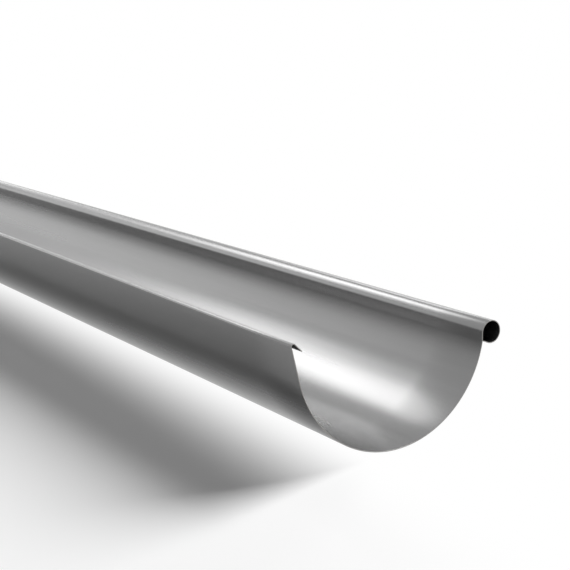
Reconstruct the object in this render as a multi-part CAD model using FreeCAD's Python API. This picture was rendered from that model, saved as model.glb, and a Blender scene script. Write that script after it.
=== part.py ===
import FreeCAD, Part
import math
import os

# Half round eaves gutter, roll formed from one strip of galvanised steel sheet.
# Millimetres and degrees. +X runs along the gutter, +Y towards the front bead,
# +Z up. The gutter lies as it rests unheld on a level floor, rolled a little
# towards its heavy front bead, and the origin is the bottom centre of its box.

# Stock
GUTTER_LENGTH = 2000.0
SHEET_THICKNESS = 0.6

# Trough, a round channel that the back and front walls leave at a tangent
TROUGH_INSIDE_DIAMETER = 150.0

# Back wall, which leans outwards above the trough
BACK_WALL_LEAN = 14.5
BACK_WALL_HEIGHT = 24.2

# Folded edge, turned in over the trough to stiffen the back wall
FOLD_INSIDE_RADIUS = 1.2
LIP_WIDTH = 7.3
LIP_DROP = 44.0

# Front wall, stood upright by a tighter shoulder bend above the trough
SHOULDER_INSIDE_RADIUS = 15.0
SHOULDER_TURN = 11.0
FRONT_WALL_HEIGHT = 4.8

# Front bead, rolled outwards and back to the front wall, with a narrow seam
BEAD_DIAMETER = 16.0
BEAD_CLOSING_FLAT = 4.4
BEAD_SEAM_GAP = 0.4

# Files
PARTS_FOLDER = "parts"
NODE_NAME = "gutter_sheet"

ALONG = FreeCAD.Vector(1, 0, 0)


def direction(heading):
    """The unit vector of a heading in the section plane, from +Y towards +Z."""
    angle = math.radians(heading)
    return FreeCAD.Vector(0, math.cos(angle), math.sin(angle))


def turned(point, centre, angle):
    """A point turned about a centre in the section plane."""
    return centre + FreeCAD.Rotation(ALONG, angle).multVec(point - centre)


class Strip:
    """A strip of sheet seen from its end, bent one run at a time.

    The path follows the middle of the sheet. A positive turn goes left, and the
    two faces of each bend share its centre, so the sheet keeps its thickness.
    """

    def __init__(self, thickness, heading):
        self.half = thickness / 2
        self.point = FreeCAD.Vector(0, 0, 0)
        self.heading = heading
        self.left_face = []
        self.right_face = []

    def beside(self, offset):
        """The point beside the path's end, to the left if offset is positive."""
        return self.point + direction(self.heading + 90) * offset

    def straight(self, length):
        """Run on flat."""
        step = direction(self.heading) * length
        for offset, face in ((self.half, self.left_face), (-self.half, self.right_face)):
            start = self.beside(offset)
            face.append(Part.LineSegment(start, start + step).toShape())
        self.point = self.point + step

    def bend(self, inside_radius, turn):
        """Bend by an angle and return the bend's centre."""
        centre = self.beside(math.copysign(inside_radius + self.half, turn))
        for offset, face in ((self.half, self.left_face), (-self.half, self.right_face)):
            start = self.beside(offset)
            middle = turned(start, centre, turn / 2)
            end = turned(start, centre, turn)
            face.append(Part.Arc(start, middle, end).toShape())
        self.point = turned(self.point, centre, turn)
        self.heading += turn
        return centre

    def section(self):
        """The section's face, closed at both ends by the strip's raw edges."""
        first = Part.LineSegment(
            self.left_face[0].Vertexes[0].Point, self.right_face[0].Vertexes[0].Point
        )
        last = Part.LineSegment(
            self.left_face[-1].Vertexes[-1].Point, self.right_face[-1].Vertexes[-1].Point
        )
        edges = self.left_face + [last.toShape()] + self.right_face + [first.toShape()]
        return Part.Face(Part.Wire(Part.__sortEdges__(edges)))


def bead_curl():
    """The bead's turn, which leaves its closing flat one seam gap off the wall.

    About the bead's centre, the flat's outer corner is at a distance set by the
    bead's radius and the flat, and its reach towards the wall is known.
    """
    radius = BEAD_DIAMETER / 2
    reach_to_wall = radius - SHEET_THICKNESS - BEAD_SEAM_GAP
    corner_distance = math.hypot(radius, BEAD_CLOSING_FLAT)
    flat_angle = math.degrees(math.atan2(BEAD_CLOSING_FLAT, radius))
    corner_angle = math.degrees(math.acos(-reach_to_wall / corner_distance))
    return 180 - flat_angle + corner_angle


def gutter_section():
    """The section's face as it is hung, and the centre of its trough."""
    back_wall_heading = 270 + BACK_WALL_LEAN
    fold_turn = 90 + BACK_WALL_LEAN + LIP_DROP
    trough_turn = 180 - BACK_WALL_LEAN - SHOULDER_TURN

    strip = Strip(SHEET_THICKNESS, back_wall_heading - fold_turn)
    strip.straight(LIP_WIDTH)
    strip.bend(FOLD_INSIDE_RADIUS, fold_turn)
    strip.straight(BACK_WALL_HEIGHT)
    trough_centre = strip.bend(TROUGH_INSIDE_DIAMETER / 2, trough_turn)
    strip.bend(SHOULDER_INSIDE_RADIUS, SHOULDER_TURN)
    strip.straight(FRONT_WALL_HEIGHT)
    strip.bend(BEAD_DIAMETER / 2 - SHEET_THICKNESS, -bead_curl())
    strip.straight(BEAD_CLOSING_FLAT)
    return strip.section(), trough_centre


def laid_to_rest(section, trough_centre):
    """The section rolled on its trough until its weight is under the centre."""
    weight = section.CenterOfMass - trough_centre
    roll = math.degrees(math.atan2(weight.y, -weight.z))
    rested = section.copy()
    rested.rotate(trough_centre, ALONG, -roll)
    return rested


def gutter_sheet():
    """The gutter at its full length, with the origin at its box's bottom centre."""
    section, trough_centre = gutter_section()
    solid = laid_to_rest(section, trough_centre).extrude(ALONG * GUTTER_LENGTH)
    box = solid.optimalBoundingBox()
    solid.translate(FreeCAD.Vector(-box.Center.x, -box.Center.y, -box.ZMin))
    return solid


os.makedirs(PARTS_FOLDER, exist_ok=True)
gutter_sheet().exportStep(os.path.join(PARTS_FOLDER, NODE_NAME + ".step"))
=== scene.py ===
"""A length of half round steel eaves gutter, at rest on a pale studio floor."""

import logging
import math
from dataclasses import dataclass, field
from enum import Enum

import bmesh
import bpy
from mathutils import Matrix, Vector


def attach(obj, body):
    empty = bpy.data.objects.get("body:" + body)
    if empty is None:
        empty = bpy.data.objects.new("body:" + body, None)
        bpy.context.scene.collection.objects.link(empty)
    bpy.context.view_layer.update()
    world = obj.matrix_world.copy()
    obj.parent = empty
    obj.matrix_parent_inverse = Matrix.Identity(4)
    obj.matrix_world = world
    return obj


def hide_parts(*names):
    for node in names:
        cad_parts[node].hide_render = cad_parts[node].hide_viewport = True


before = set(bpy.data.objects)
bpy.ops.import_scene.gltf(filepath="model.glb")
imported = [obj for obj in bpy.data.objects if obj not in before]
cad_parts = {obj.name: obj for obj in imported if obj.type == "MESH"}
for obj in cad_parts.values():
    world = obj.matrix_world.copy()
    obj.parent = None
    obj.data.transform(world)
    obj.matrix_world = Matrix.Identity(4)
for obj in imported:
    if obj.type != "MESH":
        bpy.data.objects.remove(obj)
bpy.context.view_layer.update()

# A millimetre and a thousandth of one in metres, the middle of a pattern's values
# and of a finish's range, and the way that the gutter runs.
MM = 0.001
MICRON = MM / 1000
MID_RANGE = 0.5
ALONG = Vector((1, 0, 0))

ROOT_BODY = "root"

log = logging.getLogger("gutter")


def linear(hex_colour: str) -> tuple[float, float, float, float]:
    """Turn an sRGB hex colour into the linear colour that a shader takes.

    Args:
        hex_colour: Six hex digits after a hash sign.

    Returns:
        Linear red, green and blue, and full alpha.
    """
    channels = [int(hex_colour[i : i + 2], 16) / 255 for i in (1, 3, 5)]
    line = [c / 12.92 if c <= 0.04045 else ((c + 0.055) / 1.055) ** 2.4 for c in channels]
    return line[0], line[1], line[2], 1.0


def empty_tree(owner: bpy.types.Material | bpy.types.World) -> bpy.types.NodeTree:
    """Give a material or a world a node tree with nothing in it.

    Args:
        owner: The material or the world.

    Returns:
        Its node tree.
    """
    owner.use_nodes = True
    owner.node_tree.nodes.clear()
    return owner.node_tree


def add_node(
    tree: bpy.types.NodeTree,
    kind: str,
    settings: dict[str, object] | None = None,
    inputs: dict[str | int, object] | None = None,
) -> bpy.types.Node:
    """Add a shader node with its settings, and set or link its inputs.

    Args:
        tree: The node tree that gets the node.
        kind: The node's class name.
        settings: Attributes to set on the node.
        inputs: Values for its inputs by name or number, or the output sockets
            to link to them.

    Returns:
        The new node.
    """
    node = tree.nodes.new(kind)
    for name, value in (settings or {}).items():
        setattr(node, name, value)
    for name, value in (inputs or {}).items():
        if isinstance(value, bpy.types.NodeSocket):
            tree.links.new(value, node.inputs[name])
        else:
            node.inputs[name].default_value = value
    return node


def heading_vector(heading: float) -> Vector:
    """The unit vector of a heading in degrees, from +Y towards +Z."""
    return Vector((0, math.cos(math.radians(heading)), math.sin(math.radians(heading))))


def verts_of(made: list[object]) -> list[bmesh.types.BMVert]:
    """The vertices among what a bmesh operator made."""
    return [part for part in made if isinstance(part, bmesh.types.BMVert)]


def edge_of(made: list[object]) -> bmesh.types.BMEdge:
    """The first edge among what a bmesh operator made."""
    return next(part for part in made if isinstance(part, bmesh.types.BMEdge))


def sort_by_place(bm: bmesh.types.BMesh) -> None:
    """Sort a bmesh's vertices and faces, so that each run gives the same mesh.

    Extruding a region leaves its faces in an order that changes from run to run.

    Args:
        bm: The bmesh.
    """
    for elements, places in (
        (bm.verts, [vert.co[:] for vert in bm.verts]),
        (bm.faces, [face.calc_center_median()[:] for face in bm.faces]),
    ):
        elements.ensure_lookup_table()
        for rank, number in enumerate(sorted(range(len(places)), key=places.__getitem__)):
            elements[number].index = rank
        elements.sort()


def finished_object(
    name: str, bm: bmesh.types.BMesh, materials: list[bpy.types.Material]
) -> bpy.types.Object:
    """Turn a finished bmesh into an object at the scene's origin.

    Args:
        name: The name of the object and of its mesh.
        bm: The bmesh, which is sorted and then freed.
        materials: The mesh's materials, in the order of its faces' numbers.

    Returns:
        The new object.
    """
    sort_by_place(bm)
    mesh = bpy.data.meshes.new(name)
    bm.to_mesh(mesh)
    bm.free()
    for material in materials:
        mesh.materials.append(material)
    made = bpy.data.objects.new(name, mesh)
    bpy.context.scene.collection.objects.link(made)
    return made


@dataclass(frozen=True)
class Pattern:
    """A soft random pattern in the metal, stretched in line with the gutter.

    Attributes:
        along: The size of its patches along the gutter, in millimetres.
        across: Their size across the gutter, in millimetres.
        tone: How far it moves the finish between its dark and its light tone.
        roughness: How far it moves the finish between smoothest and roughest.
        height: Its relief, in thousandths of a millimetre.
        detail: How many finer layers the noise has.
    """

    along: float
    across: float
    tone: float
    roughness: float
    height: float
    detail: float = 1.0


@dataclass(frozen=True)
class MetalFinish:
    """A bare metal finish, from its tones, its roughness and its patterns.

    Attributes:
        name: The material's name.
        dark: The darkest tone, as an sRGB hex colour.
        light: The lightest tone, as an sRGB hex colour.
        smoothest: The least roughness.
        roughest: The most roughness.
        patterns: What varies the tone, the roughness and the relief.
    """

    name: str
    dark: str
    light: str
    smoothest: float
    roughest: float
    patterns: tuple[Pattern, ...]

    def quality_sums(self, tree: bpy.types.NodeTree) -> dict[str, object]:
        """Add the patterns' nodes and sum them for each quality that they move.

        Args:
            tree: The material's node tree.

        Returns:
            The sums' sockets by quality: tone, roughness and height.
        """
        place = add_node(tree, "ShaderNodeTexCoord").outputs["Object"]
        sums: dict[str, object] = {"tone": MID_RANGE, "roughness": MID_RANGE, "height": 0.0}
        for pattern in self.patterns:
            size = Vector((pattern.along, pattern.across, pattern.across)) * MM
            stretched = add_node(
                tree,
                "ShaderNodeMapping",
                inputs={"Vector": place, "Scale": [1 / length for length in size]},
            )
            noise = add_node(
                tree,
                "ShaderNodeTexNoise",
                inputs={
                    "Vector": stretched.outputs["Vector"],
                    "Scale": 1.0,
                    "Detail": pattern.detail,
                },
            )
            swing = add_node(
                tree,
                "ShaderNodeMath",
                {"operation": "SUBTRACT"},
                {0: noise.outputs["Fac"], 1: MID_RANGE},
            )
            for quality, so_far in sums.items():
                added = add_node(
                    tree,
                    "ShaderNodeMath",
                    {"operation": "MULTIPLY_ADD"},
                    {0: swing.outputs["Value"], 1: getattr(pattern, quality), 2: so_far},
                )
                sums[quality] = added.outputs["Value"]
        return sums

    def material(self) -> bpy.types.Material:
        """Build the finish as a node material on Object coordinates.

        Returns:
            The new material.
        """
        made = bpy.data.materials.new(self.name)
        tree = empty_tree(made)
        sums = self.quality_sums(tree)
        tone = add_node(tree, "ShaderNodeValToRGB", inputs={"Fac": sums["tone"]})
        for stop, colour in zip(tone.color_ramp.elements, (self.dark, self.light)):
            stop.color = linear(colour)
        roughness = add_node(
            tree,
            "ShaderNodeMapRange",
            inputs={
                "Value": sums["roughness"],
                "To Min": self.smoothest,
                "To Max": self.roughest,
            },
        )
        relief = add_node(
            tree,
            "ShaderNodeBump",
            inputs={"Strength": 1.0, "Distance": MICRON, "Height": sums["height"]},
        )
        shader = add_node(
            tree,
            "ShaderNodeBsdfPrincipled",
            inputs={
                "Base Color": tone.outputs["Color"],
                "Metallic": 1.0,
                "Roughness": roughness.outputs["Result"],
                "Normal": relief.outputs["Normal"],
            },
        )
        add_node(
            tree, "ShaderNodeOutputMaterial", inputs={"Surface": shader.outputs["BSDF"]}
        )
        return made


# Hot dip galvanised strip, skin passed between polished rolls before it is roll
# formed. To the eye it is a soft grey mirror with no spangle: broad reflections
# that run along the gutter, a little uneven where the sheet is less than flat,
# with faint lines from the forming rolls and a fine grain in the zinc. The grain
# and the fine lines are coarser than the real ones, which would not show.
GALVANISED_STRIP = MetalFinish(
    name="galvanised_steel_strip",
    dark="#7C7C7C",
    light="#888888",
    smoothest=0.255,
    roughest=0.285,
    patterns=(
        Pattern(along=260, across=55, tone=0.5, roughness=0.5, height=60),
        Pattern(along=1400, across=8, tone=0.5, roughness=0.5, height=4),
        Pattern(along=350, across=1.6, tone=0.3, roughness=0.0, height=0.9),
        Pattern(along=1.6, across=0.9, tone=0.2, roughness=0.0, height=0.25, detail=0),
    ),
)

# The same strip where the shear has cut it. To the eye it is a thin line of bare
# steel, brighter and duller than the zinc, with the torn grain of the cut.
SHEARED_STEEL = MetalFinish(
    name="sheared_steel_edge",
    dark="#7A7876",
    light="#A09E9B",
    smoothest=0.36,
    roughest=0.5,
    patterns=(
        Pattern(along=3.0, across=0.35, tone=0.7, roughness=0.6, height=12),
        Pattern(along=0.25, across=0.12, tone=0.5, roughness=0.5, height=6, detail=0),
    ),
)


class Surface(Enum):
    """The sheet's kinds of surface, each with its finish."""

    COATED = GALVANISED_STRIP
    SHEARED = SHEARED_STEEL

    @property
    def slot_number(self) -> int:
        """The surface's place among the mesh's materials."""
        return list(Surface).index(self)


@dataclass
class BentStrip:
    """A strip of sheet seen from its end, bent one run at a time in a bmesh.

    The path follows the middle of the sheet from the first raw edge, which lies
    at the origin, and each run extrudes or spins the edge that crosses the sheet
    at the path's end. Lengths are in millimetres and angles in degrees.

    Attributes:
        bm: The bmesh that gets the section's faces.
        thickness: The sheet's thickness.
        heading: The path's heading at its end, from +Y towards +Z.
        flat_step: About how long the steps of a flat are.
        arc_step: How long the steps of a bend may be along the sheet's middle.
        turn_step: How far each of them may turn.
        point: The path's end.
        edge: The edge that crosses the sheet there.
    """

    bm: bmesh.types.BMesh
    thickness: float
    heading: float
    flat_step: float = 3.0
    arc_step: float = 1.5
    turn_step: float = 5.0
    point: Vector = field(default_factory=Vector, init=False)
    edge: bmesh.types.BMEdge = field(init=False)

    def __post_init__(self) -> None:
        """Lay the first raw edge across the path's start."""
        across = heading_vector(self.heading + 90) * self.thickness / 2
        left, right = self.bm.verts.new(across), self.bm.verts.new(-across)
        self.edge = self.bm.edges.new((left, right))

    def straight(self, length: float) -> None:
        """Run on flat.

        Args:
            length: The flat's length.
        """
        steps = max(1, round(length / self.flat_step))
        step = heading_vector(self.heading) * length / steps
        for _ in range(steps):
            made = bmesh.ops.extrude_edge_only(self.bm, edges=[self.edge])["geom"]
            bmesh.ops.translate(self.bm, verts=verts_of(made), vec=step)
            self.edge = edge_of(made)
        self.point = self.point + step * steps

    def bend(self, inside_radius: float, turn: float) -> Vector:
        """Bend the strip.

        Args:
            inside_radius: The radius of the bend's inner face.
            turn: The bend's angle, to the left if it is positive.

        Returns:
            The bend's centre.
        """
        radius = inside_radius + self.thickness / 2
        centre = self.point + heading_vector(self.heading + 90) * math.copysign(radius, turn)
        arc = radius * math.radians(abs(turn))
        steps = math.ceil(max(arc / self.arc_step, abs(turn) / self.turn_step))
        made = bmesh.ops.spin(
            self.bm,
            geom=[self.edge, *self.edge.verts],
            cent=centre,
            axis=ALONG,
            angle=math.radians(turn),
            steps=steps,
            use_duplicate=False,
        )["geom_last"]
        self.edge = edge_of(made)
        turned = Matrix.Rotation(math.radians(turn), 3, ALONG) @ (self.point - centre)
        self.point = centre + turned
        self.heading += turn
        return centre


@dataclass
class GutterSheet:
    """The gutter: one strip of sheet, bent from the back lip to the front bead.

    The section is laid out as it is hung, with +Y towards the bead, and then
    rolled to rest as the solid is. Sizes are in millimetres and degrees, and
    every radius but the bead's is that of a bend's inner face.

    Attributes:
        name: The piece's name.
        node: The solid that it takes the place of.
        slot: The name of a material slot; not used.
        length: The gutter's length.
        thickness: The sheet's thickness.
        trough_radius: The radius of the round trough.
        back_wall_lean: How far the back wall leans out from upright.
        back_wall_height: The flat from the trough up to the fold.
        fold_radius: The radius of the folded back edge.
        lip_width: The flat of the folded lip.
        lip_drop: How far the lip points down from level.
        shoulder_radius: The radius of the bend above the trough's front.
        shoulder_turn: How far that bend turns, to stand the front wall upright.
        front_wall_height: The flat from the shoulder up to the bead.
        bead_radius: The bead's outside radius.
        bead_closing_flat: The flat that closes the bead at the front wall.
        bead_seam_gap: The gap that the flat leaves there.
        length_steps: How many steps the mesh has along the gutter.
        raw_edge_round: How far in from a cut edge its rounding starts.
        raw_edge_segments: How many steps that rounding has.
        sharp_angle: The least turn from face to face at a cut edge.
    """

    name: str = "formed_gutter_sheet"
    node: str = "gutter_sheet"
    slot: str = "galvanised_steel"
    length: float = 2000.0
    thickness: float = 0.6
    trough_radius: float = 75.0
    back_wall_lean: float = 14.5
    back_wall_height: float = 24.2
    fold_radius: float = 1.2
    lip_width: float = 7.3
    lip_drop: float = 44.0
    shoulder_radius: float = 15.0
    shoulder_turn: float = 11.0
    front_wall_height: float = 4.8
    bead_radius: float = 8.0
    bead_closing_flat: float = 4.4
    bead_seam_gap: float = 0.4
    length_steps: int = 40
    raw_edge_round: float = 0.08
    raw_edge_segments: int = 2
    sharp_angle: float = 40.0

    def bead_curl(self) -> float:
        """Work out the turn that leaves the bead's raw edge off the wall by its gap.

        Returns:
            The bead's turn.
        """
        reach = self.bead_radius - self.thickness - self.bead_seam_gap
        corner = math.hypot(self.bead_radius, self.bead_closing_flat)
        flat_angle = math.degrees(math.atan2(self.bead_closing_flat, self.bead_radius))
        return 180 - flat_angle + math.degrees(math.acos(-reach / corner))

    def hung_section(self, bm: bmesh.types.BMesh) -> None:
        """Bend the section in a bmesh, with the trough's centre at the origin.

        Args:
            bm: An empty bmesh, which gets the section's faces.
        """
        back_wall_heading = 270 + self.back_wall_lean
        fold_turn = 90 + self.back_wall_lean + self.lip_drop
        trough_turn = 180 - self.back_wall_lean - self.shoulder_turn
        strip = BentStrip(bm, self.thickness, back_wall_heading - fold_turn)
        strip.straight(self.lip_width)
        strip.bend(self.fold_radius, fold_turn)
        strip.straight(self.back_wall_height)
        centre = strip.bend(self.trough_radius, trough_turn)
        strip.bend(self.shoulder_radius, self.shoulder_turn)
        strip.straight(self.front_wall_height)
        strip.bend(self.bead_radius - self.thickness, -self.bead_curl())
        strip.straight(self.bead_closing_flat)
        bmesh.ops.translate(bm, verts=bm.verts, vec=-centre)

    def rest(self) -> Matrix:
        """Roll the gutter about the trough's centre until its weight is below it.

        Returns:
            The move from the hung section, in millimetres, to the part's frame.
        """
        bm = bmesh.new()
        self.hung_section(bm)
        areas = [face.calc_area() for face in bm.faces]
        middles = [face.calc_center_median() for face in bm.faces]
        weight = sum((m * a for m, a in zip(middles, areas)), Vector()) / sum(areas)
        roll = Matrix.Rotation(-math.atan2(weight.y, -weight.z), 4, ALONG)
        bmesh.ops.transform(bm, matrix=roll, verts=bm.verts)
        across = [vert.co.y for vert in bm.verts]
        bm.free()
        shift = Vector((0, -(min(across) + max(across)) / 2, self.trough_radius + self.thickness))
        return Matrix.Scale(MM, 4) @ Matrix.Translation(shift) @ roll

    def mark_sheared_faces(self, bm: bmesh.types.BMesh, sharp: list[bmesh.types.BMEdge]) -> None:
        """Give the two ends and the two long raw edges the sheared finish.

        Args:
            bm: The gutter's full length, before its edges are rounded.
            sharp: The edges that bound what the shear has cut.
        """
        bounds = set(sharp)
        for face in bm.faces:
            is_end = round(abs(face.normal.x)) == 1
            if is_end or bounds.issuperset(face.edges):
                face.material_index = Surface.SHEARED.slot_number

    def build(self) -> bpy.types.Object:
        """Make the gutter's mesh, dress it and put it in place of its solid.

        Returns:
            The new piece.
        """
        bm = bmesh.new()
        self.hung_section(bm)
        bmesh.ops.translate(bm, verts=bm.verts, vec=-ALONG * self.length / 2)
        made = bmesh.ops.extrude_face_region(bm, geom=bm.faces[:])["geom"]
        bmesh.ops.translate(bm, verts=verts_of(made), vec=ALONG * self.length)
        bmesh.ops.recalc_face_normals(bm, faces=bm.faces[:])
        sharp = [e for e in bm.edges if e.calc_face_angle(0) > math.radians(self.sharp_angle)]
        self.mark_sheared_faces(bm, sharp)
        bmesh.ops.bevel(
            bm,
            geom=sharp,
            offset=self.raw_edge_round,
            segments=self.raw_edge_segments,
            profile=0.5,
            affect="EDGES",
            material=-1,
        )
        long_edges = [e for e in bm.edges if e.calc_length() > self.length / 2]
        bmesh.ops.subdivide_edges(bm, edges=long_edges, cuts=self.length_steps - 1)
        bmesh.ops.transform(bm, matrix=self.rest(), verts=bm.verts)
        # The shading runs smoothly over the rounded raw edges, so the reflections
        # turn a little in the last step before each end, as in the photograph.
        for face in bm.faces:
            face.smooth = True
        piece = finished_object(self.name, bm, [surface.value.material() for surface in Surface])
        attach(piece, ROOT_BODY)
        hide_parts(self.node)
        return piece


class LampShape(Enum):
    """The outlines of the soft boxes, by the names that a lamp takes."""

    BOX = "RECTANGLE"
    OVAL = "ELLIPSE"

    def area(self, width: float, height: float) -> float:
        """The area of the outline."""
        return width * height * (1.0 if self is LampShape.BOX else math.pi / 4)


@dataclass(frozen=True)
class SoftBox:
    """A soft lamp far out in one direction from the gutter.

    Its place and its size are angles in degrees, as seen from the gutter.

    Attributes:
        name: The lamp's name.
        azimuth: Its bearing. At 0 it is past the end away from the viewer, and at
            90 on the bead's side.
        elevation: How high it hangs, up from level.
        width: Its width.
        height: Its height.
        radiance: How bright its face is, where the white background is 1.
        shape: Its outline.
        tilt: How far its end on the bead's side is lifted.
        distance: How far off it hangs, in metres.
    """

    name: str
    azimuth: float
    elevation: float
    width: float
    height: float
    radiance: float
    shape: LampShape = LampShape.BOX
    tilt: float = 0.0
    distance: float = 8.0

    def hang(self) -> bpy.types.Object:
        """Make the lamp, aimed at the gutter and hidden from the camera.

        Returns:
            The lamp.
        """
        azimuth, elevation = math.radians(self.azimuth), math.radians(self.elevation)
        away = Vector(
            (
                -math.cos(azimuth) * math.cos(elevation),
                math.sin(azimuth) * math.cos(elevation),
                math.sin(elevation),
            )
        )
        data = bpy.data.lights.new(self.name, "AREA")
        data.shape = self.shape.value
        data.size = 2 * self.distance * math.tan(math.radians(self.width) / 2)
        data.size_y = 2 * self.distance * math.tan(math.radians(self.height) / 2)
        data.energy = self.radiance * math.pi * self.shape.area(data.size, data.size_y)
        lamp = bpy.data.objects.new(self.name, data)
        aim = away.to_track_quat("Z", "Y").to_matrix().to_4x4()
        tilt = Matrix.Rotation(math.radians(-self.tilt), 4, "Z")
        lamp.matrix_world = Matrix.Translation(away * self.distance) @ aim @ tilt
        lamp.visible_camera = False
        bpy.context.scene.collection.objects.link(lamp)
        return lamp


@dataclass(frozen=True)
class Studio:
    """A pale floor under a plain white sky, with soft boxes round the gutter.

    What the camera sees of the sky, straight on or mirrored in the metal, is a
    white background. The floor fades into it from an oval patch of plain paint on
    the back wall's side, where the gutter's shadow falls. The patch ends just
    short of the trough's underside, whose lower edge mirrors the white.

    Attributes:
        white: The colour of the background.
        white_strength: The background's strength, at which it shows as white.
        sky_strength: The strength at which the sky lights the scene.
        floor_colour: The colour of the floor's paint.
        floor_radius: The floor's radius, in metres.
        floor_segments: How many sides its outline has.
        paint_centre: The middle of the painted patch, in metres.
        paint_reach: How far the patch reaches along and across, in metres.
        fade_start: The share of that reach at which it starts to fade.
        soft_boxes: The lamps.
    """

    white: str = "#FFFFFF"
    white_strength: float = 1.0
    sky_strength: float = 0.06
    floor_colour: str = "#FCFCFC"
    floor_radius: float = 30.0
    floor_segments: int = 64
    paint_centre: tuple[float, float] = (0.4, -0.33)
    paint_reach: tuple[float, float] = (2.2, 0.31)
    fade_start: float = 0.72
    soft_boxes: tuple[SoftBox, ...] = (
        SoftBox("far_end_strip", -3.8, 38.6, 35, 10, 4.6, LampShape.OVAL, tilt=20),
        SoftBox("far_end_oval", 1, 51, 25, 30, 1.9, LampShape.OVAL),
        SoftBox("bead_side_box", 47, 24, 24, 15, 2.0),
        SoftBox("bead_side_low", 14, 13, 14, 12, 1.5),
        SoftBox("back_side_box", -26, 14, 25, 28, 0.67),
        SoftBox("overhead_box", 115, 40, 34, 34, 10.6),
    )

    def background_rays(self, tree: bpy.types.NodeTree) -> bpy.types.NodeSocket:
        """Add the nodes that tell a ray which shows the background.

        Args:
            tree: The node tree of the floor or the sky.

        Returns:
            One for camera, glossy and transmission rays, and nought for the rest.
        """
        path = add_node(tree, "ShaderNodeLightPath")
        shown = path.outputs["Is Camera Ray"]
        for ray in ("Is Glossy Ray", "Is Transmission Ray"):
            either = add_node(
                tree, "ShaderNodeMath", {"operation": "MAXIMUM"}, {0: shown, 1: path.outputs[ray]}
            )
            shown = either.outputs["Value"]
        return shown

    def floor_material(self) -> bpy.types.Material:
        """Make pale matt paint that fades into the white background with distance.

        Returns:
            The new material.
        """
        made = bpy.data.materials.new("pale_floor_paint")
        tree = empty_tree(made)
        place = add_node(tree, "ShaderNodeTexCoord").outputs["Object"]
        (x, y), (reach_x, reach_y) = self.paint_centre, self.paint_reach
        scaled = add_node(
            tree,
            "ShaderNodeMapping",
            inputs={
                "Vector": place,
                "Location": (-x / reach_x, -y / reach_y, 0),
                "Scale": (1 / reach_x, 1 / reach_y, 1),
            },
        )
        nearness = add_node(
            tree,
            "ShaderNodeTexGradient",
            {"gradient_type": "SPHERICAL"},
            {"Vector": scaled.outputs["Vector"]},
        )
        fade = add_node(
            tree,
            "ShaderNodeMapRange",
            {"interpolation_type": "SMOOTHSTEP"},
            {
                "Value": nearness.outputs["Fac"],
                "From Min": 1 - self.fade_start,
                "From Max": 0.0,
            },
        )
        share = add_node(
            tree,
            "ShaderNodeMath",
            {"operation": "MULTIPLY"},
            {0: self.background_rays(tree), 1: fade.outputs["Result"]},
        )
        paint = add_node(
            tree, "ShaderNodeBsdfDiffuse", inputs={"Color": linear(self.floor_colour)}
        )
        glow = add_node(
            tree,
            "ShaderNodeEmission",
            inputs={"Color": linear(self.white), "Strength": self.white_strength},
        )
        shade = add_node(
            tree,
            "ShaderNodeMixShader",
            inputs={
                "Fac": share.outputs["Value"],
                1: paint.outputs["BSDF"],
                2: glow.outputs["Emission"],
            },
        )
        add_node(
            tree, "ShaderNodeOutputMaterial", inputs={"Surface": shade.outputs["Shader"]}
        )
        return made

    def lay_floor(self) -> bpy.types.Object:
        """Lay the floor at the height that the gutter rests on.

        Returns:
            The floor.
        """
        bm = bmesh.new()
        bmesh.ops.create_circle(
            bm, cap_ends=True, radius=self.floor_radius, segments=self.floor_segments
        )
        floor = finished_object("studio_floor", bm, [self.floor_material()])
        return floor

    def light_sky(self) -> None:
        """Make the world white to look at, and a soft light from all round."""
        world = bpy.data.worlds.new("white_sky")
        tree = empty_tree(world)
        strength = add_node(
            tree,
            "ShaderNodeMapRange",
            inputs={
                "Value": self.background_rays(tree),
                "To Min": self.sky_strength,
                "To Max": self.white_strength,
            },
        )
        shade = add_node(
            tree,
            "ShaderNodeBackground",
            inputs={"Color": linear(self.white), "Strength": strength.outputs["Result"]},
        )
        add_node(
            tree, "ShaderNodeOutputWorld", inputs={"Surface": shade.outputs["Background"]}
        )
        bpy.context.scene.world = world

    def build(self) -> list[bpy.types.Object]:
        """Light the sky, lay the floor and hang the soft boxes.

        Returns:
            The floor and the lamps.
        """
        self.light_sky()
        return [self.lay_floor(), *(soft_box.hang() for soft_box in self.soft_boxes)]


@dataclass(frozen=True)
class Viewpoint:
    """The photograph's camera, placed from the hung gutter's near end.

    Its place is in millimetres from the trough's centre in the near end's plane,
    and its view in degrees.

    Attributes:
        beyond_end: How far it stands beyond the near end.
        to_the_back: How far it stands out on the back wall's side.
        above_centre: How far it stands above the trough's centre.
        view_turn: How far it looks across the gutter, from along it.
        view_drop: How far it looks down from level.
        lens: Its focal length.
        sensor: Its sensor's width.
    """

    beyond_end: float = 623.4
    to_the_back: float = 484.1
    above_centre: float = 195.3
    view_turn: float = 32.72
    view_drop: float = 11.56
    lens: float = 79.94
    sensor: float = 36.0

    def place(self, gutter: GutterSheet) -> bpy.types.Object:
        """Make the camera and move it with the gutter as that is laid to rest.

        Args:
            gutter: The gutter, whose rest gives the camera its place and roll.

        Returns:
            The camera.
        """
        data = bpy.data.cameras.new("photo_camera")
        data.lens = self.lens
        data.sensor_width = self.sensor
        camera = bpy.data.objects.new("photo_camera", data)
        bpy.context.scene.collection.objects.link(camera)
        stand = Vector((gutter.length / 2 + self.beyond_end, -self.to_the_back, self.above_centre))
        turn = Matrix.Rotation(math.radians(90 - self.view_turn), 4, "Z")
        tilt = Matrix.Rotation(math.radians(90 - self.view_drop), 4, "X")
        placed = gutter.rest() @ Matrix.Translation(stand) @ turn @ tilt
        camera.matrix_world = Matrix.LocRotScale(
            placed.to_translation(), placed.to_quaternion(), None
        )
        bpy.context.scene.camera = camera
        return camera


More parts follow.
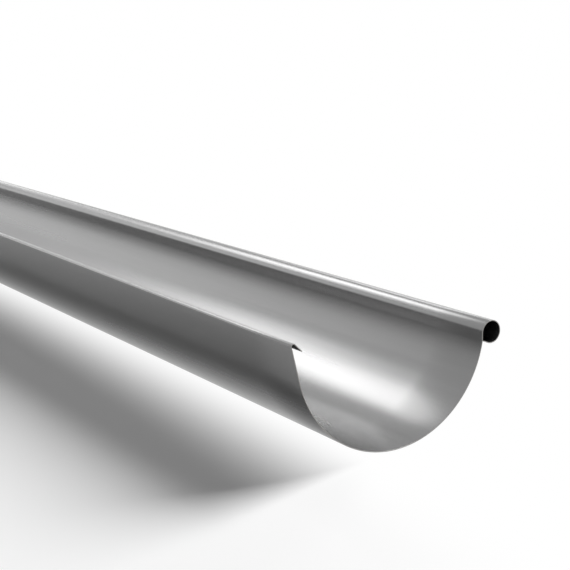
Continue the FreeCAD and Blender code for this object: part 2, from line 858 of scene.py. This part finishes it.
def main() -> None:
    """Build the gutter, its studio and its camera, and report each of them."""
    logging.basicConfig(level=logging.INFO, format="%(message)s")
    gutter = GutterSheet()
    piece = gutter.build()
    log.info("%s: %d faces, for %s", piece.name, len(piece.data.polygons), gutter.node)
    for fitting in Studio().build():
        log.info("%s: in the studio", fitting.name)
    camera = Viewpoint().place(gutter)
    log.info("%s: lens of %.1f mm", camera.name, camera.data.lens)
    bpy.context.scene.view_settings.view_transform = "Standard"


if __name__ == "__main__":
    main()
